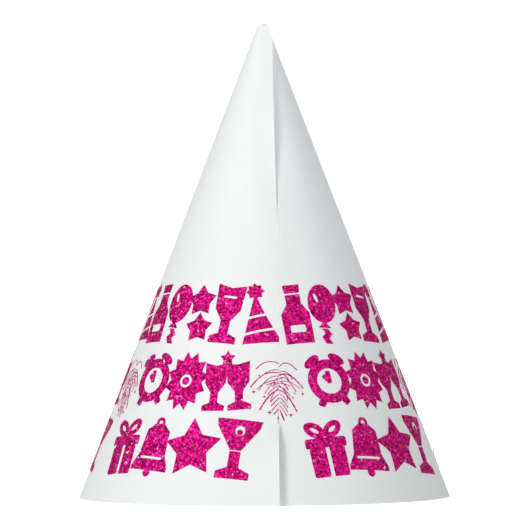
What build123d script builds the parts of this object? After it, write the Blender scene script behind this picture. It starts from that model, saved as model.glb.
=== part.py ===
"""A rolled card party hat: one lapped cone, its lock tab, loose edges, string tongues and glitter print.

The origin is the centre of the rim, +Z runs to the tip, and the lapped seam faces -Y. A turn angle is
measured about +Z from -Y towards +X. The pattern of the print repeats around the hat.
"""

import os
from math import asin, atan, cos, radians, sin, sqrt

from build123d import (
    Axis,
    Circle,
    Compound,
    Ellipse,
    Plane,
    Polyline,
    Pos,
    RectangleRounded,
    Rot,
    Vector,
    export_step,
    extrude,
    loft,
    make_face,
    revolve,
    scale,
)

# Cone of the hat
RIM_RADIUS = 70.0
APEX_HEIGHT = 182.5
OUTER_TOP = 177.2
INNER_TOP = 177.6
CARD = 0.40
TAN_HALF = RIM_RADIUS / APEX_HEIGHT
HALF_ANGLE = atan(TAN_HALF)
WALL = CARD / cos(HALF_ANGLE)

# Lap of the two panels: the right-hand one runs under the left-hand one
LAP_TURN = 35.0
LAP_STEP = 0.62
UNDER_START = -15.0
OUTER_END = 90.0
UNDERLAP = 11.5

# Seam: the left-hand panel's straight cut edge, which passes the apex at a distance on the flat blank
SEAM_OFFSET = 3.7
SEAM_TURN = 1.5
SEAM_TOP = 175.9

# Lock slit in the right-hand panel and the tab that goes through it
SLOT_LOW = 29.4
SLOT_HIGH = 112.2
SLOT_WIDTH = 1.1
FOLD_REACH = 0.3
TAB_WIDTH = 13.0
TAB_END_WIDTH = 6.0
TAB_TAPER = 9.0
TAB_GAP = 0.06
CREASE = 0.12

# Loose edges of the left-hand panel
UPPER_HINGE_TURN = -3.0
UPPER_TOP = 168.0
UPPER_LIFT = 5.0
LOWER_HINGE_TURN = -0.5
LOWER_LIFT = 5.0

# Tongues for the chin string, one at each side
TONGUE_LOW = 14.7
TONGUE_HIGH = 18.0
TONGUE_WIDTH = 4.0
TONGUE_CUT = 0.35
TONGUE_LIFT = 14.0

# Glitter print: a film on the outside of the card
FILM = 0.15
FILM_GAP = 0.01
REPEATS = {
    "front_left": (-33.3, 1.0),
    "front_right": (45.0, 1.0),
    "right": (116.5, 0.925),
    "back": (186.5, 0.925),
    "left": (256.0, 0.925),
}
FIREWORKS = {
    "seam": (5.3, 1.0),
    "right": (81.8, 0.8),
    "back_right": (151.5, 0.8),
    "back_left": (221.25, 0.8),
    "left": (290.3, 0.8),
}
UPPER_ROW = {
    "height": 69.2,
    "pitch": 14.8,
    "figures": ("bottle", "balloon", "two_stars", "flute", "hat"),
}
MIDDLE_ROW = {"height": 44.7, "pitch": 18.1, "figures": ("clock", "burst", "toast")}
LOWER_ROW = {"height": 20.5, "pitch": 15.6, "figures": ("gift", "bell", "star", "cocktail")}
ROWS = {"upper": UPPER_ROW, "middle": MIDDLE_ROW, "lower": LOWER_ROW}
FIGURE_SCALE = 1.1
JAUNT = (5.0, -4.0, 3.0, -6.0, 5.0)
FIREWORK_HEIGHT = 41.3
PRISM = 4.0


def radius(z):
    """Outer radius of the left-hand panel at a height."""
    return (APEX_HEIGHT - z) * TAN_HALF


def around(turn, reach, z):
    """Point at a turn angle, a distance from the axis and a height."""
    return Vector(reach * sin(radians(turn)), -reach * cos(radians(turn)), z)


def seam_x(z):
    """Sideways position of the seam on the front of the cone at a height."""
    slant = (APEX_HEIGHT - z) / cos(HALF_ANGLE)
    turn = radians(SEAM_TURN) + asin(SEAM_OFFSET / slant) / sin(HALF_ANGLE)
    return radius(z) * sin(turn)


def outline(*points):
    """Flat face inside a closed outline."""
    return make_face(Polyline(*points, close=True))


LAP_SHIFT = around(LAP_TURN + 180, LAP_STEP / 2, 0)


def cone_shell(start, end, low, high, outer, inner, shifted=False):
    """Part of a cone's wall between two turn angles, offset outwards by outer and inner."""
    if shifted:
        outer -= LAP_STEP / 2
        inner -= LAP_STEP / 2
    corners = (
        around(start, radius(low) + outer, low),
        around(start, radius(high) + outer, high),
        around(start, radius(high) + inner, high),
        around(start, radius(low) + inner, low),
    )
    wall = revolve(outline(*corners), axis=Axis.Z, revolution_arc=end - start)
    return Pos(*LAP_SHIFT) * wall if shifted else wall


def front_prism(*points):
    """Block over an outline of (x, z) points, covering the front half of the hat."""
    face = outline(*[(x, 1.0, z) for x, z in points])
    return extrude(face, amount=RIM_RADIUS + 30, dir=(0, -1, 0))


def seam_points(low, high, shift=0.0, steps=8):
    """Points (x, z) along the seam, moved sideways by shift."""
    heights = [low + (high - low) * i / steps for i in range(steps + 1)]
    return [(seam_x(z) + shift, z) for z in heights]


def hinge_x(turn, z):
    """Sideways position of a straight line up the cone at a turn angle."""
    return radius(z) * sin(radians(turn))


# Everything right of the left-hand panel's outline, loose edges included
fold_edge = -SLOT_WIDTH - FOLD_REACH
beyond_left_panel = front_prism(
    (hinge_x(LOWER_HINGE_TURN, -1), -1),
    (hinge_x(LOWER_HINGE_TURN, SLOT_LOW), SLOT_LOW),
    *seam_points(SLOT_LOW, SLOT_HIGH, fold_edge - CREASE),
    (hinge_x(UPPER_HINGE_TURN, SLOT_HIGH), SLOT_HIGH),
    (hinge_x(UPPER_HINGE_TURN, UPPER_TOP), UPPER_TOP),
    *seam_points(UPPER_TOP, SEAM_TOP, steps=4),
    (RIM_RADIUS + 20, SEAM_TOP),
    (RIM_RADIUS + 20, -1),
)

# Everything left of the right-hand panel's hidden underlap
beyond_underlap = front_prism(
    *seam_points(-1, SEAM_TOP, -UNDERLAP),
    (-RIM_RADIUS - 20, SEAM_TOP),
    (-RIM_RADIUS - 20, -1),
)

slit = front_prism(
    *seam_points(SLOT_LOW, SLOT_HIGH),
    *reversed(seam_points(SLOT_LOW, SLOT_HIGH, -SLOT_WIDTH)),
)


def tongue_block(side, width, low, high):
    """Block through the wall at the right (side 1) or left (side -1) of the hat."""
    half = width / 2
    face = outline((0, -half, low), (0, half, low), (0, half, high), (0, -half, high))
    return extrude(face, amount=RIM_RADIUS + 20, dir=(side, 0, 0))


tongue_windows = [
    tongue_block(side, TONGUE_WIDTH + 2 * TONGUE_CUT, TONGUE_LOW - CREASE, TONGUE_HIGH + TONGUE_CUT)
    for side in (-1, 1)
]

JOIN_TURN = LAP_TURN - 180

left_panel = cone_shell(JOIN_TURN, OUTER_END, 0, OUTER_TOP, 0, -WALL) - beyond_left_panel
right_panel = cone_shell(UNDER_START, JOIN_TURN + 360, 0, INNER_TOP, 0, -WALL, shifted=True)
right_panel = right_panel - beyond_underlap - slit
card_wall = left_panel + right_panel
for window in tongue_windows:
    card_wall -= window


def loose_edge(hinge_turn, low, high, lift):
    """Strip of the left-hand panel from a crease up the cone to the seam, turned outwards."""
    bounds = front_prism(
        (hinge_x(hinge_turn, low) + CREASE, low),
        *seam_points(low, high),
        (hinge_x(hinge_turn, high) + CREASE, high),
    )
    flat = cone_shell(hinge_turn - 2, OUTER_END, low, high, 0, -WALL) & bounds
    foot = around(hinge_turn, radius(0), 0)
    downwards = foot - Vector(0, 0, APEX_HEIGHT)
    return flat.rotate(Axis(foot, downwards), lift)


upper_flap = loose_edge(UPPER_HINGE_TURN, SLOT_HIGH + CREASE, UPPER_TOP - CREASE, UPPER_LIFT)
lower_flap = loose_edge(LOWER_HINGE_TURN, 0, SLOT_LOW - CREASE, LOWER_LIFT)

# Strip that takes the left-hand panel down through the slit
TAB_OUTER = -WALL - TAB_GAP
fold_drop = CARD * 0.4


def on_front(x, reach, z, centre=Vector(0, 0, 0)):
    """Point of a circle about a centre, at a sideways position on the front."""
    side = x - centre.X
    return Vector(x, centre.Y - sqrt(reach**2 - side**2), z)


def fold_section(z):
    """Outline of the folded strip at a height."""
    edge = seam_x(z)
    tab_reach = radius(z) - LAP_STEP / 2 + TAB_OUTER
    return outline(
        on_front(edge + fold_edge, radius(z), z),
        on_front(edge - SLOT_WIDTH, radius(z), z),
        on_front(edge - 0.03, tab_reach, z, LAP_SHIFT),
        on_front(edge - 0.03 - fold_drop, tab_reach - WALL, z, LAP_SHIFT),
        on_front(edge - SLOT_WIDTH - fold_drop, radius(z) - WALL, z),
        on_front(edge + fold_edge, radius(z) - WALL, z),
    )


fold_low = SLOT_LOW + 0.4
fold_high = SLOT_HIGH - 0.4
fold_heights = [fold_low + (fold_high - fold_low) * i / 6 for i in range(7)]
tab_fold = loft([fold_section(z) for z in fold_heights], ruled=True)

# Lock tab, lying against the inside of the right-hand panel
tab_low = fold_low + 0.4
tab_high = fold_high - 0.4
tab_bounds = front_prism(
    *seam_points(tab_low, tab_high, CREASE),
    (seam_x(tab_high) + TAB_END_WIDTH, tab_high),
    (seam_x(tab_high) + TAB_WIDTH, tab_high - TAB_TAPER),
    (seam_x(tab_low) + TAB_WIDTH, tab_low + TAB_TAPER),
    (seam_x(tab_low) + TAB_END_WIDTH, tab_low),
)
tab_shell = cone_shell(-5, OUTER_END, tab_low, tab_high, TAB_OUTER, TAB_OUTER - WALL, shifted=True)
lock_tab = tab_shell & tab_bounds


def string_tongue(side):
    """Raised tongue of one string slit, hinged at its lower edge."""
    turn = 90 * side
    shell = cone_shell(turn - 6, turn + 6, TONGUE_LOW, TONGUE_HIGH, 0, -WALL, shifted=side > 0)
    flat = shell & tongue_block(side, TONGUE_WIDTH, TONGUE_LOW, TONGUE_HIGH)
    reach = radius(TONGUE_LOW)
    if side > 0:
        reach += LAP_SHIFT.X - LAP_STEP / 2
    hinge = Axis((side * reach, 0, TONGUE_LOW), (0, side, 0))
    return flat.rotate(hinge, TONGUE_LIFT)


# Flat figures of the print, each centred on its own cell


def star(points, outer, inner, turn=90.0, stretch=1.0):
    """Pointed star about the origin, stretched upwards by a factor."""
    ring = []
    for i in range(2 * points):
        reach = inner if i % 2 else outer
        angle = radians(turn + 180 * i / points)
        ring.append((reach * cos(angle), reach * sin(angle) * stretch))
    return outline(*ring)


def mirrored(*points):
    """Closed outline from the points of its right half, top to bottom."""
    left = [(-x, y) for x, y in reversed(points) if x > 0]
    return outline(*points, *left)


def flute_face(size=1.0):
    """Champagne glass."""
    half = ((0, 9.2), (5.0, 10.4), (4.5, 1.6), (1.7, -2.4), (1.7, -6.8), (4.9, -8.2), (4.9, -10.4))
    return mirrored(*[(x * size, y * size) for x, y in half])


def bottle_figure():
    """Champagne bottle with a separate cork."""
    body = mirrored((2.6, 6.9), (2.6, 3.6), (5.0, 0.2), (5.0, -10.4))
    label = Pos(0, -5.2) * RectangleRounded(5.4, 2.6, 0.6)
    cork = mirrored((3.0, 10.4), (2.6, 7.5))
    return [body - label, cork]


def balloon_figure():
    """Balloon with its knot and ribbon."""
    skin = Pos(0, 3.6) * Ellipse(5.3, 6.9)
    shine = Pos(-2.2, 5.6) * Rot(0, 0, 20) * Ellipse(0.6, 1.7)
    knot = outline((0, -2.6), (2.4, -5.0), (-2.4, -5.0))
    right_side = ((1.0, -5.3), (2.6, -7.2), (1.2, -8.6), (2.4, -10.6))
    left_side = ((-0.2, -10.6), (-1.5, -8.4), (-0.1, -7.0), (-1.2, -5.3))
    ribbon = outline(*right_side, *left_side)
    return [skin - shine, knot, ribbon]


def two_stars_figure():
    """Large star above a smaller one."""
    upper = Pos(0, 5.1) * star(5, 5.7, 3.5)
    lower = Pos(0.3, -5.5) * star(5, 5.4, 3.3)
    return [upper, lower]


def flute_figure():
    """One glass with a bubble line across the bowl."""
    band = Pos(0, 6.0) * RectangleRounded(4.6, 0.8, 0.35)
    return [flute_face() - band]


def hat_figure():
    """Striped cone hat with a bobble."""
    cone = outline((0, 7.6), (5.6, -10.4), (-5.6, -10.4))
    for level in (-6.4, -1.0):
        cone -= outline((-6, level - 1.2), (6, level + 0.6), (6, level + 1.5), (-6, level - 0.3))
    bobble = Pos(0, 8.7) * star(8, 3.0, 2.2)
    return [*cone.faces(), bobble]


def clock_figure():
    """Alarm clock at almost midnight."""
    ring = Circle(7.7) - Circle(4.5)
    minute = RectangleRounded(1.8, 4.4, 0.5)
    hour = Rot(0, 0, 40) * Pos(0, 1.2) * RectangleRounded(1.8, 3.4, 0.5)
    hands = Pos(0, 1.4) * minute + hour
    bell = Pos(0, 9.6) * Ellipse(3.2, 1.6)
    bells = [Rot(0, 0, side * 32) * bell for side in (-1, 1)]
    foot = Pos(0, 9.4) * RectangleRounded(2.6, 2.6, 0.6)
    feet = [Rot(0, 0, side * 148) * foot for side in (-1, 1)]
    return [ring, hands, *bells, *feet]


def burst_figure():
    """Starburst with a round heart."""
    rays = star(12, 8.3, 6.2, turn=105, stretch=1.27) - Circle(2.3)
    return [rays, Circle(1.4)]


def toast_figure():
    """Two glasses meeting under a small star."""
    left = Pos(-4.5, -1.9) * Rot(0, 0, -4) * flute_face(0.81)
    right = Pos(4.5, -1.9) * Rot(0, 0, 4) * flute_face(0.81)
    return [left, right, Pos(0, 8.9) * star(5, 2.8, 1.5)]


def gift_figure():
    """Wrapped box with a bow."""
    box = RectangleRounded(12.8, 10.2, 0.8) - RectangleRounded(1.4, 12, 0.2)
    halves = [Pos(0, -5.2) * half for half in box.faces()]
    lid = Pos(0, 2.3) * RectangleRounded(14.8, 3.4, 0.8)
    loop = Ellipse(3.9, 2.5) - Ellipse(1.6, 0.7)
    loops = [Pos(side * 3.5, 7.2) * Rot(0, 0, side * 35) * loop for side in (-1, 1)]
    return [*halves, lid, *loops]


def bell_figure():
    """Hand bell with its clapper."""
    body = mirrored((1.8, 8.4), (4.9, 6.0), (5.8, -2.4), (8.0, -6.4), (8.0, -8.0))
    clapper = Pos(0, -9.7) * Circle(1.5)
    loop = Pos(0, 9.6) * (Circle(1.9) - Circle(0.8))
    band = Pos(0, -3.6) * RectangleRounded(9.4, 0.9, 0.4)
    return [body - band, clapper, loop]


def star_figure():
    """Plain bold star."""
    return [star(5, 10.6, 5.7)]


def cocktail_figure():
    """Wide glass with an olive."""
    bowl = mirrored((7.6, 10.2), (7.2, 7.6), (1.9, -0.6)) - Pos(0.6, 6.2) * Circle(1.7)
    stem = mirrored((1.9, -1.0), (1.9, -6.6), (5.8, -8.2), (5.8, -10.6))
    return [bowl, stem, Pos(0.6, 6.2) * Circle(1.0)]


FIGURES = {
    "bottle": bottle_figure,
    "balloon": balloon_figure,
    "two_stars": two_stars_figure,
    "flute": flute_figure,
    "hat": hat_figure,
    "clock": clock_figure,
    "burst": burst_figure,
    "toast": toast_figure,
    "gift": gift_figure,
    "bell": bell_figure,
    "star": star_figure,
    "cocktail": cocktail_figure,
}

# Drawn firework: drooping strokes in pairs, as (root height, bow height, reach, tip height, weight)
STROKES = (
    (9.2, 11.3, 7.9, 8.6, 0.38),
    (7.2, 8.0, 5.6, 6.2, 0.30),
    (6.1, 6.6, 10.2, 1.6, 0.48),
    (4.7, 5.2, 7.2, 0.2, 0.32),
    (3.2, 3.2, 4.8, 2.2, 0.28),
    (1.9, 1.4, 4.6, -1.6, 0.32),
    (0.5, -1.1, 7.2, -7.4, 0.50),
    (-0.9, -1.6, 3.7, -4.4, 0.28),
    (-2.4, -3.2, 3.6, -6.0, 0.30),
    (-3.8, -4.8, 3.4, -7.7, 0.30),
    (-5.2, -6.6, 3.0, -9.2, 0.32),
    (-6.8, -8.4, 1.9, -11.0, 0.54),
)

# Arches that cross the stem, as start, top and end points and a weight
ARCHES = (
    ((-5.4, -1.2), (0.4, 6.4), (4.4, 3.0), 0.34),
    ((-8.2, 0.6), (-1.2, 4.2), (3.6, 0.4), 0.36),
    ((7.9, 1.0), (2.4, 3.9), (-3.2, 1.6), 0.34),
    ((-3.8, -4.4), (-2.0, 0.2), (0.8, 1.8), 0.32),
    ((0.2, 2.2), (2.4, -0.2), (3.2, -3.4), 0.30),
)

# Small stars, as (sideways, up, size)
SPARKS = (
    (-0.7, -2.8, 1.15),
    (-9.0, -0.2, 0.75),
    (8.9, -1.0, 0.75),
    (-5.5, -2.3, 0.5),
    (5.2, -2.6, 0.5),
    (-4.1, -8.4, 0.8),
    (4.2, -9.2, 0.8),
    (-6.8, 6.0, 0.45),
    (5.0, 4.9, 0.45),
    (-2.4, 2.6, 0.45),
    (1.2, 5.0, 0.45),
    (5.9, -0.9, 0.45),
)


def band(start, top, end, weight, steps=7):
    """Narrow face along a bow through three points, finer where it starts."""
    pull = top * 2 - (start + end) / 2
    above, below = [], []
    for i in range(steps + 1):
        t = i / steps
        centre = start * (1 - t) ** 2 + pull * (2 * t * (1 - t)) + end * t**2
        along = (pull - start) * (1 - t) + (end - pull) * t
        half = along.normalized() * (weight * (0.3 + 0.2 * t))
        above.append((centre.X - half.Y, centre.Y + half.X))
        below.append((centre.X + half.Y, centre.Y - half.X))
    return outline(*above, *reversed(below))


def firework_faces(spread):
    """All strokes, arches and sparks of one firework, joined where they cross."""
    faces = []
    for root, bow, reach, tip, weight in STROKES:
        for side, short, drop in ((-1, 1.0, 0.0), (1, 0.9, 0.4)):
            end_x = side * reach * spread * short
            start = Vector(side * 0.2, root - drop)
            top = Vector(end_x * 0.45, bow - drop)
            faces.append(band(start, top, Vector(end_x, tip - drop), weight))
    for start, top, end, weight in ARCHES:
        points = [Vector(x * spread, y) for x, y in (start, top, end)]
        faces.append(band(*points, weight))
    for x, y, size in SPARKS:
        faces.append(Pos(x * spread, y) * star(4, size, size * 0.45))
    return faces[0].fuse(*faces[1:]).faces()


# The card's outer surface as a thin film, panel by panel
film_left = cone_shell(JOIN_TURN, OUTER_END, 5, 100, FILM_GAP + FILM, FILM_GAP) - beyond_left_panel
film_right = cone_shell(0, JOIN_TURN + 360, 5, 100, FILM_GAP + FILM, FILM_GAP, shifted=True)
left_of_seam = front_prism(*seam_points(4, 101), (-RIM_RADIUS, 101), (-RIM_RADIUS, 4))
film_right = film_right - left_of_seam
film_skin = film_left + film_right
for window in tongue_windows:
    film_skin -= window


def on_hat(turn, z):
    """Plane touching the cone at a turn angle and height, its second axis up the slope."""
    outwards = around(turn, cos(HALF_ANGLE), sin(HALF_ANGLE))
    sideways = around(turn + 90, 1, 0)
    return Plane(origin=around(turn, radius(z), z), x_dir=sideways, z_dir=outwards)


def printed(faces, turn, z, tilt=0.0, size=1.0):
    """Film solids of some flat faces, wrapped on the hat."""
    solids = []
    for face in faces:
        placed = on_hat(turn, z) * Rot(0, 0, tilt) * scale(face, by=size)
        block = extrude(placed, amount=PRISM, dir=on_hat(turn, z).z_dir, both=True)
        solids += [s for s in (block & film_skin).solids() if s.volume > 0.004]
    return solids


def printed_row(centre, squeeze, row):
    """One row of figures of one repeat, side by side."""
    solids = []
    count = len(row["figures"])
    for i, figure in enumerate(row["figures"]):
        turn = centre + (i - (count - 1) / 2) * row["pitch"] * squeeze
        solids += printed(FIGURES[figure](), turn, row["height"], JAUNT[i], FIGURE_SCALE * squeeze)
    return Compound(solids)


nodes = {
    "card_wall": card_wall,
    "upper_flap": upper_flap,
    "lower_flap": lower_flap,
    "tab_fold": tab_fold,
    "lock_tab": lock_tab,
    "string_tongue_left": string_tongue(-1),
    "string_tongue_right": string_tongue(1),
}
for place, (centre, squeeze) in REPEATS.items():
    for row_name, row in ROWS.items():
        nodes[f"{row_name}_figures_{place}"] = printed_row(centre, squeeze, row)
for place, (centre, width) in FIREWORKS.items():
    nodes[f"firework_{place}"] = Compound(printed(firework_faces(width), centre, FIREWORK_HEIGHT))

os.makedirs("parts", exist_ok=True)
for name, shape in nodes.items():
    export_step(shape, f"parts/{name}.step")
    print(name, len(shape.solids()), round(shape.volume, 2))
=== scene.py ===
"""Looks of the party hat: the rolled card with its woven seam, the glitter print, and a plain studio."""

from math import acos, asin, atan, atan2, cos, degrees, hypot, radians, sin

import bmesh
import bpy
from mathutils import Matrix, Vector, noise


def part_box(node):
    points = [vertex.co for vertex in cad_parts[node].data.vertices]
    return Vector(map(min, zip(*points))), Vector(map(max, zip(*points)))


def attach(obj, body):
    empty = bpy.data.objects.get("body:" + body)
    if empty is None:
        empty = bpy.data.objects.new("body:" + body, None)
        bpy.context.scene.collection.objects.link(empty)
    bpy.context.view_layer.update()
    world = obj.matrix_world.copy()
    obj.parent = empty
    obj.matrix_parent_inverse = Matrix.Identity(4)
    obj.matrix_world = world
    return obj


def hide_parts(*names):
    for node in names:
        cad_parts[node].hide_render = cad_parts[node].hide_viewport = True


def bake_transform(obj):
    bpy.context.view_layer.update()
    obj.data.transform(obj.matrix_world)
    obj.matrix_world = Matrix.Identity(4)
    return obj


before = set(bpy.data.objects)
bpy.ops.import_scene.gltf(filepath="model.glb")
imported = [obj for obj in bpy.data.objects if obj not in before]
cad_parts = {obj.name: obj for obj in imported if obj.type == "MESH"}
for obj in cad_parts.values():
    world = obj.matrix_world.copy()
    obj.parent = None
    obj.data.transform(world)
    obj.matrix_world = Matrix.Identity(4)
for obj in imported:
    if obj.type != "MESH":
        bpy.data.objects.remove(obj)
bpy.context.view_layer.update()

MM = 0.001

# Cone of the hat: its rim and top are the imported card's, its slope and thickness the part's own
wall_low, wall_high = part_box("card_wall")
RIM = -wall_low[0]
PART_RADIUS = 70.0
PART_APEX = 182.5
SLOPE = PART_RADIUS / PART_APEX
APEX = RIM / SLOPE
HALF = atan(SLOPE)
CARD = 0.40 * MM
WALL = CARD / cos(HALF)
INNER_TOP = wall_high[2]
OUTER_TOP = 177.2 * MM

# Lap, seam and lock of the card. Turn angles are in degrees, 0 at the front and rising to the right
LAP_TURN = 35.0
LAP_STEP = 0.62 * MM
JOIN_TURN = LAP_TURN - 180
UNDER_START = -15.0
UNDERLAP = 11.5 * MM
SEAM_OFFSET = 3.7 * MM
SEAM_TURN = 1.5
SLOT_LOW = 29.4 * MM
SLOT_HIGH = 112.2 * MM
UPPER_TOP = 168.0 * MM
UPPER_HINGE = -3.0
LOWER_HINGE = -0.5

# The lock slit's bow to the right, and the heights between which it grows and fades
SLIT_SHIFT = 1.05 * MM
SLIT_BOW_LOW = 38 * MM
SLIT_BOW_FULL = 84 * MM
SLIT_BOW_LOSS = 0.3
SLIT_BOW_END = 14 * MM

# The left-hand panel's upper edge: a shallow curve above EDGE_FOOT, worked out in millimetres, then straight
EDGE_FOOT = 114.8 * MM
EDGE_START = 4.48
EDGE_SLANT = 0.02903
EDGE_CURVE = 0.0001934
EDGE_TIP_FOOT = 172.4 * MM
EDGE_TIP_START = 3.45 * MM
EDGE_TIP_SLANT = 0.306
LOWER_TRIM = 0.45 * MM
LOWER_TRIM_REACH = 6 * MM

# The lock tab and the lip of the slit above it
TAB_WIDTH = 13.0 * MM
TAB_END_WIDTH = 6.0 * MM
TAB_TAPER = 9.0 * MM
TAB_SHORT = 0.35 * MM
LIP_RISE = 0.88 * MM
LIP_REACH = 10.0 * MM
LIP_START = 3.0 * MM
LIP_FULL = 7.0 * MM
DIVE_START = 0.5 * MM
DIVE_REACH = 1.7 * MM
DIVE_END = 14 * MM
CLEAR = 0.03 * MM

# How far the loose edges stand up, and over what height they rise from the slit's ends
END_LIFT = 0.12 * MM
END_REACH = 7 * MM
END_BOW = 1.15
EDGE_LIFT_LOW = 2.0 * MM
EDGE_RISE_LOW_START = 1 * MM
EDGE_RISE_LOW = 8 * MM
EDGE_LIFT_HIGH = 1.6 * MM
EDGE_RISE_HIGH = 30 * MM

# Distances below the slit between which the lower edge's kink at its crease turns into a long straight run
KINK_START = 5 * MM
KINK_END = 16 * MM

# Heights between which the upper edge comes to lie flat from its crease on
FLAT_LOW = 146 * MM
FLAT_HIGH = 162 * MM

# String tongue windows
WINDOW_LOW = 14.62 * MM
WINDOW_HIGH = 18.25 * MM
WINDOW_TURN = 2.02

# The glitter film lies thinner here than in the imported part, and the left-hand panel's reaches the slit.
# Film from FILM_SIDE degrees before the seam onwards is the right-hand panel's
FILM_SHARE = 0.5
FILM_GAP = 1.52 * MM
FILM_OVERLAP = 0.02 * MM
FILM_PULL = 8.0 * MM
FILM_SIDE = 0.35
FILM_ROW_STEP = 2.0 * MM
FILM_TURN_STEP = 1.6

# Row and turn steps of the card's mesh, and the turn angles where they change
ROW = 2.4 * MM
COLUMN = 1.8
RIGHT_COLUMN = 1.9
NEAR_COLUMN = 1.0
SEAM_COLUMN = 0.55
LEFT_OF_SEAM = -6.0
BESIDE_SEAM = 14.0
NEAR_SEAM = 30.0
FAR_RIGHT = 170.0


def radius(z):
    """Outer radius of the cone at a height."""
    return (APEX - z) * SLOPE


def smooth(a, b, x):
    """Smooth step of x from a to b."""
    t = min(1.0, max(0.0, (x - a) / (b - a)))
    return t * t * (3 - 2 * t)


def seam_turn(z):
    """Turn angle of the left-hand panel's straight cut edge at a height."""
    slant = (APEX - z) / cos(HALF)
    return SEAM_TURN + degrees(asin(min(1.0, SEAM_OFFSET / slant)) / sin(HALF))


def slit_turn(z):
    """Turn angle of the lock slit's lip, which bows a little to the right of the seam."""
    share = smooth(SLIT_BOW_LOW, SLIT_BOW_FULL, z)
    share *= 1 - SLIT_BOW_LOSS * smooth(SLIT_BOW_FULL + 1 * MM, SLOT_HIGH, z)
    share *= smooth(SLOT_HIGH + SLIT_BOW_END, SLOT_HIGH, z)
    return seam_turn(z) + degrees(SLIT_SHIFT * share / radius(z))


def edge_x(z):
    """Sideways position of the left-hand panel's upper edge, above the slit."""
    up = (z - EDGE_FOOT) / MM
    bowed = (EDGE_START - EDGE_SLANT * up + EDGE_CURVE * up * up) * MM
    return min(bowed, EDGE_TIP_START - EDGE_TIP_SLANT * (z - EDGE_TIP_FOOT))


def edge_turn(z):
    """Turn angle of the left-hand panel's loose edges."""
    if z >= SLOT_HIGH:
        return degrees(asin(edge_x(z) / (radius(z) + edge_lift(z))))
    return seam_turn(z) - degrees(LOWER_TRIM * smooth(SLOT_LOW, SLOT_LOW - LOWER_TRIM_REACH, z) / radius(z))


def crease_turn(z):
    """Turn angle where the left-hand panel's loose edges begin to bend."""
    share = smooth(SLOT_LOW, SLOT_HIGH, z)
    return LOWER_HINGE + (UPPER_HINGE - LOWER_HINGE) * share


def wave(turn, z):
    """Slight unevenness of the rolled card."""
    a = radians(turn)
    swell = sin(2 * a + 0.8) * 0.10 + sin(3 * a - 1.1 + z * 14) * 0.05
    grain = noise.noise(Vector((cos(a), sin(a), z / RIM * 0.9)) * 1.7) * 0.12
    return (swell + grain) * MM * smooth(APEX, APEX * 0.55, z)


def from_slit_end(z):
    """Distance in from the nearer end of the lock slit."""
    return min(z - SLOT_LOW, SLOT_HIGH - z)


def slot_share(z):
    """1 along the lock slit, falling to 0 just beyond its ends."""
    low = smooth(SLOT_LOW - LIP_START, SLOT_LOW + LIP_FULL, z)
    return low * smooth(SLOT_HIGH + LIP_START, SLOT_HIGH - LIP_FULL, z)


def lap_offset(turn, z=0.0):
    """How far the card that runs in under the left-hand panel stands off the cone, at any height."""
    return -LAP_STEP / 2 * (1 + cos(radians(turn - LAP_TURN)))


def right_offset(turn, z):
    """How far the right-hand panel stands off the cone."""
    lap = lap_offset(turn)
    away = radians(turn - slit_turn(z)) * radius(z)
    if away < -1e-7:
        return lap
    return lap + LIP_RISE * slot_share(z) * (1 - min(1.0, max(0.0, away / LIP_REACH))) ** 1.7


def tab_offset(turn, z):
    """How far the lock tab stands off the cone: just under the right-hand panel."""
    return right_offset(turn, z) - WALL - CLEAR


def flatness(z):
    """1 near the tip, where the left-hand panel lies flat beyond its crease."""
    return smooth(FLAT_LOW, FLAT_HIGH, z)


def edge_lift(z):
    """How far the left-hand panel's loose edge stands up at a height."""
    if z < SLOT_LOW:
        return END_LIFT + EDGE_LIFT_LOW * smooth(SLOT_LOW + EDGE_RISE_LOW_START, SLOT_LOW - EDGE_RISE_LOW, z)
    if z >= SLOT_HIGH:
        bent = END_LIFT + EDGE_LIFT_HIGH * smooth(SLOT_HIGH, SLOT_HIGH + EDGE_RISE_HIGH, z)
        flat = hypot(radius(z), edge_x(z) - radius(z) * sin(radians(UPPER_HINGE))) - radius(z)
        return bent + (flat - bent) * flatness(z)
    near_low = smooth(SLOT_LOW + END_REACH, SLOT_LOW, z)
    near_high = smooth(SLOT_HIGH - END_REACH, SLOT_HIGH, z)
    return END_LIFT * max(near_low, near_high)


def left_offset(turn, z):
    """How far the left-hand panel stands off the cone: beyond the slit its loose edges run on straight."""
    if SLOT_LOW <= z < SLOT_HIGH:
        crease = crease_turn(z)
        if turn <= crease:
            return 0.0
        bent = edge_lift(z) * ((turn - crease) / (seam_turn(z) - crease)) ** END_BOW
        slit = slit_turn(z)
        back = radians(slit - turn) * radius(z)
        dive = min(0.0, tab_offset(slit, z) - bent)
        reach = DIVE_START + (DIVE_REACH - DIVE_START) * smooth(0, DIVE_END, from_slit_end(z))
        return bent + dive * smooth(reach, 0, back)
    near, far = radius(z), radius(z) + edge_lift(z)
    edge = edge_turn(z)
    start = edge - degrees(acos(near / far))
    if z < SLOT_LOW:
        start += max(0.0, crease_turn(z) - start) * smooth(SLOT_LOW - KINK_END, SLOT_LOW - KINK_START, z)
    if turn <= start:
        return 0.0
    across, to_go, gone = (radians(a) for a in (edge - start, edge - turn, turn - start))
    return sin(across) / (sin(to_go) / near + sin(gone) / far) - near


def left_offset_inside(low, high):
    """The left-hand panel's offset, taking the strip's own side of each of its ends."""
    inside = 1e-6

    def offset(turn, z):
        return left_offset(turn, min(high - inside, max(low + inside, z)))

    return offset


def on_cone(turn, z, offset):
    """Point at a turn angle and height, standing off the cone by offset."""
    reach = radius(z) + offset + wave(turn, z)
    return Vector((reach * sin(radians(turn)), -reach * cos(radians(turn)), z))


# ---------------------------------------------------------------- card meshes


def spread(low, high, step):
    """Evenly spaced values from low to high, about a step apart."""
    count = max(1, round(abs(high - low) / step))
    return [low + (high - low) * i / count for i in range(count + 1)]


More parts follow.
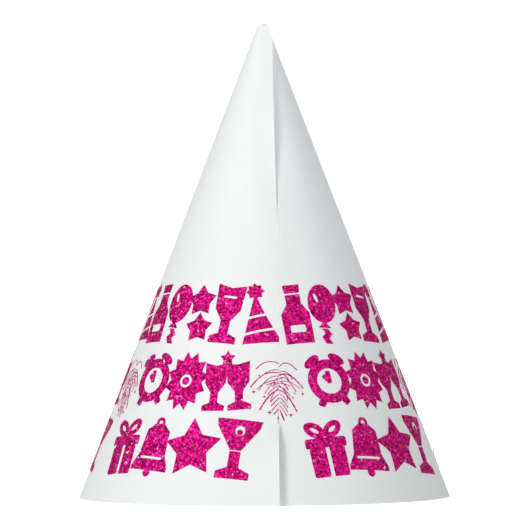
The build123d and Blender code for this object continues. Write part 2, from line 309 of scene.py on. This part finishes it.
key_heights = [0.0, WINDOW_LOW, WINDOW_HIGH, SLOT_LOW, SLOT_HIGH, UPPER_TOP, OUTER_TOP, INNER_TOP]
HEIGHTS = []
for low, high in zip(key_heights, key_heights[1:]):
    HEIGHTS += spread(low, high, ROW)[:-1]
HEIGHTS.append(INNER_TOP)
for end, inward in ((SLOT_LOW, 1), (SLOT_HIGH, -1)):
    HEIGHTS += [end + inward * step * MM for step in (0.4, 0.9, 1.5, 3.2)]
HEIGHTS = sorted(set(round(z, 7) for z in HEIGHTS))


def heights(low, high):
    """Mesh rows from low to high."""
    return [z for z in HEIGHTS if low - 1e-6 <= z <= high + 1e-6]


def patch(bm, rows, columns, offset, skip=None):
    """Adds a grid of card surface. columns(z) gives the turn angles of a row, from left to right."""
    grid = []
    for z in rows:
        turns = columns(z)
        grid.append([(turn, bm.verts.new(on_cone(turn, z, offset(turn, z)))) for turn in turns])
    for lower, upper, z_low, z_high in zip(grid, grid[1:], rows, rows[1:]):
        for i in range(len(lower) - 1):
            if skip and skip((lower[i][0] + lower[i + 1][0]) / 2, (z_low + z_high) / 2):
                continue
            corners = (lower[i][1], lower[i + 1][1], upper[i + 1][1], upper[i][1])
            if len({tuple(v.co) for v in corners}) == 4:
                bm.faces.new(corners)


def between(left, right, shares):
    """Column rule: turn angles from left(z) to right(z) at fixed shares of the way."""
    return lambda z: [left(z) + (right(z) - left(z)) * s for s in shares]


def shares(count, power=1.0):
    """Shares from 0 to 1, closer together towards 1 for a power above 1."""
    return [1 - (1 - i / count) ** power for i in range(count + 1)]


def in_window(turn, z):
    """Whether a face lies in a string tongue's window."""
    return abs(abs(turn) - 90) < WINDOW_TURN and WINDOW_LOW < z < WINDOW_HIGH


def mesh_object(name, bm):
    """Object from a bmesh."""
    mesh = bpy.data.meshes.new(name)
    bm.to_mesh(mesh)
    bm.free()
    obj = bpy.data.objects.new(name, mesh)
    bpy.context.scene.collection.objects.link(obj)
    return obj


def thicken(name, bm, materials):
    """Gives a card surface its thickness, with its cut edges in the second material."""
    bmesh.ops.remove_doubles(bm, verts=bm.verts, dist=2e-6)
    bmesh.ops.recalc_face_normals(bm, faces=bm.faces)
    bm.normal_update()
    centres = [(face.normal, face.calc_center_median()) for face in bm.faces]
    if sum(normal.x * centre.x + normal.y * centre.y for normal, centre in centres) < 0:
        bmesh.ops.reverse_faces(bm, faces=bm.faces)
    obj = mesh_object(name, bm)
    for material in materials:
        obj.data.materials.append(material)
    solid = obj.modifiers.new("thickness", "SOLIDIFY")
    solid.thickness = CARD
    solid.offset = -1
    solid.use_even_offset = True
    solid.use_rim = True
    solid.material_offset_rim = 1
    bpy.context.view_layer.update()
    graph = bpy.context.evaluated_depsgraph_get()
    mesh = bpy.data.meshes.new_from_object(obj.evaluated_get(graph))
    obj.modifiers.clear()
    obj.data = mesh
    for vertex in mesh.vertices:
        vertex.co.z = max(0.0, vertex.co.z)
    sharpen(mesh)
    return obj


def sharpen(mesh, angle=40):
    """Smooth shading, broken at edges sharper than an angle."""
    mesh.shade_smooth()
    bm = bmesh.new()
    bm.from_mesh(mesh)
    for edge in bm.edges:
        if len(edge.link_faces) == 2:
            edge.smooth = edge.calc_face_angle(0) < radians(angle)
    bm.to_mesh(mesh)
    bm.free()


# ------------------------------------------------------------------ materials


def new_material(name):
    """Material, its node tree and its shader."""
    material = bpy.data.materials.new(name)
    material.use_nodes = True
    tree = material.node_tree
    shader = tree.nodes["Principled BSDF"]
    return material, tree, shader


def node(tree, kind, **values):
    """Node with its settings and input values."""
    made = tree.nodes.new(kind)
    for key, value in values.items():
        if hasattr(made, key):
            setattr(made, key, value)
        else:
            made.inputs[key.replace("_", " ")].default_value = value
    return made


def ramp(tree, stops):
    """Colour ramp from (position, colour) stops."""
    made = tree.nodes.new("ShaderNodeValToRGB")
    elements = made.color_ramp.elements
    while len(elements) < len(stops):
        elements.new(0.5)
    for element, (position, colour) in zip(elements, stops):
        element.position = position
        element.color = (*colour, 1)
    return made


def card_material(name, light, dark, roughness, fibre):
    """White coated card: faint mottling, fine fibres in the surface."""
    material, tree, shader = new_material(name)
    link = tree.links.new
    where = node(tree, "ShaderNodeTexCoord")
    mottle = node(tree, "ShaderNodeTexNoise", Scale=55.0, Detail=3.0, Roughness=0.55)
    link(where.outputs["Object"], mottle.inputs["Vector"])
    fibres = node(tree, "ShaderNodeTexNoise", Scale=1500.0, Detail=4.0, Roughness=0.6)
    link(where.outputs["Object"], fibres.inputs["Vector"])
    mix = node(tree, "ShaderNodeMix", data_type="FLOAT")
    mix.inputs["Factor"].default_value = 0.45
    link(mottle.outputs["Fac"], mix.inputs["A"])
    link(fibres.outputs["Fac"], mix.inputs["B"])
    colour = ramp(tree, [(0.32, dark), (0.68, light)])
    link(mix.outputs["Result"], colour.inputs["Fac"])
    link(colour.outputs["Color"], shader.inputs["Base Color"])
    rough = node(tree, "ShaderNodeMapRange", **{"To_Min": roughness - 0.06, "To_Max": roughness + 0.06})
    link(fibres.outputs["Fac"], rough.inputs["Value"])
    link(rough.outputs["Result"], shader.inputs["Roughness"])
    bump = node(tree, "ShaderNodeBump", Strength=fibre, Distance=0.00006)
    link(fibres.outputs["Fac"], bump.inputs["Height"])
    link(bump.outputs["Normal"], shader.inputs["Normal"])
    shader.inputs["Specular IOR Level"].default_value = 0.32
    shader.inputs["Sheen Weight"].default_value = 0.05
    return material


def glitter_material():
    """Hot pink glitter: flakes of mixed depth of colour, each facing its own way; the palest, near-white
    pink flakes are painted glints, sparkle put into the base colour.
    """
    material, tree, shader = new_material("glitter")
    link = tree.links.new
    where = node(tree, "ShaderNodeTexCoord")
    flakes = node(tree, "ShaderNodeTexVoronoi", Scale=1700.0, Randomness=1.0)
    link(where.outputs["Object"], flakes.inputs["Vector"])
    clumps = node(tree, "ShaderNodeTexNoise", Scale=520.0, Detail=2.0, Roughness=0.6)
    link(where.outputs["Object"], clumps.inputs["Vector"])
    split = node(tree, "ShaderNodeSeparateColor")
    link(flakes.outputs["Color"], split.inputs["Color"])
    shade = node(tree, "ShaderNodeMath", operation="MULTIPLY_ADD")
    link(clumps.outputs["Fac"], shade.inputs[0])
    shade.inputs[1].default_value = 0.55
    link(split.outputs["Red"], shade.inputs[2])
    level = node(tree, "ShaderNodeMapRange", **{"From_Min": 0.15, "From_Max": 1.4})
    link(shade.outputs["Value"], level.inputs["Value"])
    # Flake colours from near-black up to hot pink, then light pink to near-white pink at the top: that top
    # end is painted glint, sparkle put into the flakes' colour
    colour = ramp(
        tree,
        [
            (0.0, (0.09, 0.0, 0.028)),
            (0.18, (0.34, 0.001, 0.095)),
            (0.38, (0.74, 0.003, 0.22)),
            (0.80, (0.92, 0.007, 0.29)),
            (0.89, (0.97, 0.14, 0.48)),
            (0.955, (1.0, 0.78, 0.90)),
        ],
    )
    link(level.outputs["Result"], colour.inputs["Fac"])
    link(colour.outputs["Color"], shader.inputs["Base Color"])
    surface = node(tree, "ShaderNodeNewGeometry")
    centred = node(tree, "ShaderNodeVectorMath", operation="SUBTRACT")
    link(flakes.outputs["Color"], centred.inputs[0])
    centred.inputs[1].default_value = (0.5, 0.5, 0.5)
    tilt = node(tree, "ShaderNodeVectorMath", operation="MULTIPLY_ADD")
    link(centred.outputs["Vector"], tilt.inputs[0])
    tilt.inputs[1].default_value = (0.9, 0.9, 0.9)
    link(surface.outputs["Normal"], tilt.inputs[2])
    facing = node(tree, "ShaderNodeVectorMath", operation="NORMALIZE")
    link(tilt.outputs["Vector"], facing.inputs[0])
    link(facing.outputs["Vector"], shader.inputs["Normal"])
    shader.inputs["Metallic"].default_value = 0.5
    shader.inputs["Roughness"].default_value = 0.34
    shader.inputs["Specular IOR Level"].default_value = 0.12
    return material


card_face = card_material("card", (0.868, 0.884, 0.876), (0.850, 0.866, 0.858), 0.52, 0.22)
card_edge = card_material("card_cut_edge", (0.90, 0.905, 0.90), (0.80, 0.81, 0.802), 0.8, 0.6)
glitter = glitter_material()

# ------------------------------------------------------------------ the cone

cone_mesh = bmesh.new()
whole = heights(0, OUTER_TOP)

left_turns = (
    spread(JOIN_TURN, -90 - WINDOW_TURN, COLUMN) + [-90.0] + spread(-90 + WINDOW_TURN, LEFT_OF_SEAM, COLUMN)
)
patch(cone_mesh, whole, lambda z: left_turns, left_offset, in_window)
patch(cone_mesh, whole, between(lambda z: LEFT_OF_SEAM, crease_turn, shares(3)), left_offset)
at_slit = left_offset_inside(SLOT_LOW, SLOT_HIGH)
patch(cone_mesh, heights(SLOT_LOW, SLOT_HIGH), between(crease_turn, slit_turn, shares(14, 1.8)), at_slit)
patch(cone_mesh, heights(UPPER_TOP, OUTER_TOP), between(crease_turn, edge_turn, shares(16)), left_offset)

reference = seam_turn((WINDOW_LOW + WINDOW_HIGH) / 2)
right_turns = (
    spread(FAR_RIGHT, 90 + WINDOW_TURN, RIGHT_COLUMN)
    + [90.0]
    + spread(90 - WINDOW_TURN, NEAR_SEAM, COLUMN)
    + spread(NEAR_SEAM, BESIDE_SEAM, NEAR_COLUMN)[1:]
    + spread(BESIDE_SEAM, reference, SEAM_COLUMN)[1:]
)
right_shares = [(FAR_RIGHT - turn) / (FAR_RIGHT - reference) for turn in right_turns]
inner = heights(0, INNER_TOP)
patch(cone_mesh, inner, lambda z: spread(JOIN_TURN + 360, FAR_RIGHT, COLUMN), right_offset)
patch(cone_mesh, inner, between(lambda z: FAR_RIGHT, slit_turn, right_shares), right_offset, in_window)


def underlap_end(z):
    """Turn angle where the hidden margin of the right-hand panel ends."""
    side = radius(z) * sin(radians(seam_turn(z))) - UNDERLAP
    return max(UNDER_START, degrees(asin(max(-1.0, side / radius(z)))))


patch(cone_mesh, inner, between(slit_turn, underlap_end, shares(14)), lap_offset)

cone = thicken("rolled_card", cone_mesh, [card_face, card_edge])
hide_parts("card_wall", "tab_fold")
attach(cone, "cone")

# ---------------------------------------------------- loose edges and lock tab


def loose_edge(name, low, high, node_name):
    """Loose strip of the left-hand panel that bends out from its crease."""
    bm = bmesh.new()
    patch(bm, heights(low, high), between(crease_turn, edge_turn, shares(12)), left_offset_inside(low, high))
    edge = thicken(name, bm, [card_face, card_edge])
    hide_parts(node_name)
    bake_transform(edge)


loose_edge("upper_loose_edge", SLOT_HIGH, UPPER_TOP, "upper_flap")
loose_edge("lower_loose_edge", 0.0, SLOT_LOW, "lower_flap")


def tab_width(z):
    """Reach of the lock tab beyond the slit at a height."""
    return TAB_END_WIDTH + (TAB_WIDTH - TAB_END_WIDTH) * min(1.0, from_slit_end(z) / TAB_TAPER)


def tab_tip_turn(z):
    """Turn angle of the lock tab's free edge."""
    return slit_turn(z) + degrees(tab_width(z) / radius(z))


tab_mesh = bmesh.new()
tab_rows = heights(SLOT_LOW + TAB_SHORT, SLOT_HIGH - TAB_SHORT)
patch(tab_mesh, tab_rows, between(slit_turn, tab_tip_turn, shares(16)), tab_offset)
lock_tab = thicken("lock_tab_card", tab_mesh, [card_face, card_edge])
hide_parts("lock_tab")
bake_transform(lock_tab)

# --------------------------------------------------------------- glitter print


def to_edge(turn, z):
    """Carries the left-hand panel's print on to the slit's very edge."""
    back = radians(slit_turn(z) - turn) * radius(z)
    gap = FILM_GAP + radians(slit_turn(z) - seam_turn(z)) * radius(z)
    if back > FILM_PULL or not SLOT_LOW < z < SLOT_HIGH:
        return turn
    share = (FILM_PULL - back) / (FILM_PULL - gap)
    return turn + degrees((gap - FILM_OVERLAP) * min(1.0, share) ** 2 / radius(z))


def cut_across(bm, point, normal):
    """Cuts the whole mesh along a plane."""
    geometry = bm.verts[:] + bm.edges[:] + bm.faces[:]
    bmesh.ops.bisect_plane(bm, geom=geometry, dist=1e-8, plane_co=point, plane_no=normal)


def lay_print(source, name):
    """Copy of a packed print film, cut finer and laid on the card as it lies here."""
    bm = bmesh.new()
    bm.from_mesh(source.data)
    bmesh.ops.remove_doubles(bm, verts=bm.verts, dist=1e-7)
    turns = [degrees(atan2(v.co.x, -v.co.y)) for v in bm.verts]
    centre = degrees(atan2(sum(v.co.x for v in bm.verts), -sum(v.co.y for v in bm.verts)))
    low, high = min(v.co.z for v in bm.verts), max(v.co.z for v in bm.verts)
    around = [(t - centre + 180) % 360 - 180 for t in turns]
    for z in spread(low, high, FILM_ROW_STEP)[1:-1]:
        cut_across(bm, (0, 0, z), (0, 0, 1))
    for turn in spread(min(around), max(around), FILM_TURN_STEP)[1:-1]:
        a = radians(centre + turn)
        cut_across(bm, (0, 0, 0), (cos(a), sin(a), 0))
    for vertex in bm.verts:
        x, y, z = vertex.co
        turn = degrees(atan2(x, -y))
        height = hypot(x, y) - radius(z)
        if turn > seam_turn(z) - FILM_SIDE or turn < JOIN_TURN:
            height -= lap_offset(turn)
            card_offset = right_offset(turn, z)
        else:
            turn = to_edge(turn, z)
            card_offset = left_offset(turn, z)
        vertex.co = on_cone(turn, z, card_offset + height * FILM_SHARE)
    obj = mesh_object(name, bm)
    obj.data.materials.append(glitter)
    sharpen(obj.data)
    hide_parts(source.name)
    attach(obj, "cone")


for node_name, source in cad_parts.items():
    if "_figures_" in node_name or node_name.startswith("firework_"):
        lay_print(source, "glitter_" + node_name)

for node_name in ("string_tongue_left", "string_tongue_right"):
    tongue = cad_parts[node_name]
    for slot in tongue.material_slots:
        slot.material = card_face

# ------------------------------------------------------------------ the studio

FLOOR_GLOW = 1.22
SKY_LIGHT = 0.075
SKY_SEEN = 1.05
AIM_HEIGHT = 0.09

floor_mesh = bmesh.new()
bmesh.ops.create_grid(floor_mesh, x_segments=8, y_segments=8, size=20)
floor = mesh_object("studio_floor", floor_mesh)
floor.location.z = -0.05 * MM
floor_material, tree, shader = new_material("studio_floor")
paper = node(tree, "ShaderNodeTexNoise", Scale=3.0, Detail=2.0)
tint = ramp(tree, [(0.3, (0.19, 0.19, 0.19)), (0.7, (0.21, 0.21, 0.21))])
tree.links.new(paper.outputs["Fac"], tint.inputs["Fac"])
tree.links.new(tint.outputs["Color"], shader.inputs["Base Color"])
shader.inputs["Roughness"].default_value = 0.9
shader.inputs["Specular IOR Level"].default_value = 0.1
shader.inputs["Emission Color"].default_value = (1, 1, 1, 1)
shader.inputs["Emission Strength"].default_value = FLOOR_GLOW
floor.data.materials.append(floor_material)

world = bpy.data.worlds.new("studio")
bpy.context.scene.world = world
world.use_nodes = True
background = world.node_tree.nodes["Background"]
background.inputs["Color"].default_value = (1, 1, 1, 1)
ray = world.node_tree.nodes.new("ShaderNodeLightPath")
strength = world.node_tree.nodes.new("ShaderNodeMapRange")
strength.inputs["To Min"].default_value = SKY_LIGHT
strength.inputs["To Max"].default_value = SKY_SEEN
world.node_tree.links.new(ray.outputs["Is Camera Ray"], strength.inputs["Value"])
world.node_tree.links.new(strength.outputs["Result"], background.inputs["Strength"])


def softbox(name, turn, rise, distance, width, height, power, colour=(1, 1, 1)):
    """Soft light that faces the middle of the hat: angles in degrees, sizes in metres, power in watts."""
    light = bpy.data.lights.new(name, "AREA")
    light.shape = "RECTANGLE"
    light.size = width
    light.size_y = height
    light.energy = power
    light.color = colour
    obj = bpy.data.objects.new(name, light)
    bpy.context.scene.collection.objects.link(obj)
    a, e = radians(turn), radians(rise)
    aim = Vector((0, 0, AIM_HEIGHT))
    away = Vector((sin(a) * cos(e), -cos(a) * cos(e), sin(e)))
    obj.location = aim + away * distance
    obj.rotation_mode = "QUATERNION"
    obj.rotation_quaternion = away.to_track_quat("Z", "Y")


softbox("key", -47, 24, 1.6, 0.5, 0.7, 12.3)
softbox("left_fill", -62, 20, 1.6, 0.6, 0.8, 1.2)
softbox("right_fill", 51, 42, 0.75, 0.42, 0.42, 1.62, (0.94, 0.945, 1.0))
softbox("back_fill", 180, 30, 1.8, 1.2, 1.2, 6.5)

# Level camera in front of the seam. VIEW_WIDTH is what it sees across at the hat's axis
DISTANCE = 1.72
VIEW_WIDTH = 0.19944
CAMERA_SIDE = 0.0003
CAMERA_HEIGHT = 0.0871
CAMERA_ROLL = 0.26
SENSOR = 36.0

camera_data = bpy.data.cameras.new("camera")
camera = bpy.data.objects.new("camera", camera_data)
bpy.context.scene.collection.objects.link(camera)
bpy.context.scene.camera = camera
camera_data.sensor_width = SENSOR
camera_data.lens = SENSOR * DISTANCE / VIEW_WIDTH
camera_data.clip_end = 100
camera.location = (CAMERA_SIDE, -DISTANCE, CAMERA_HEIGHT)
camera.rotation_euler = (radians(90), radians(CAMERA_ROLL), 0)

bpy.context.scene.view_settings.view_transform = "Standard"
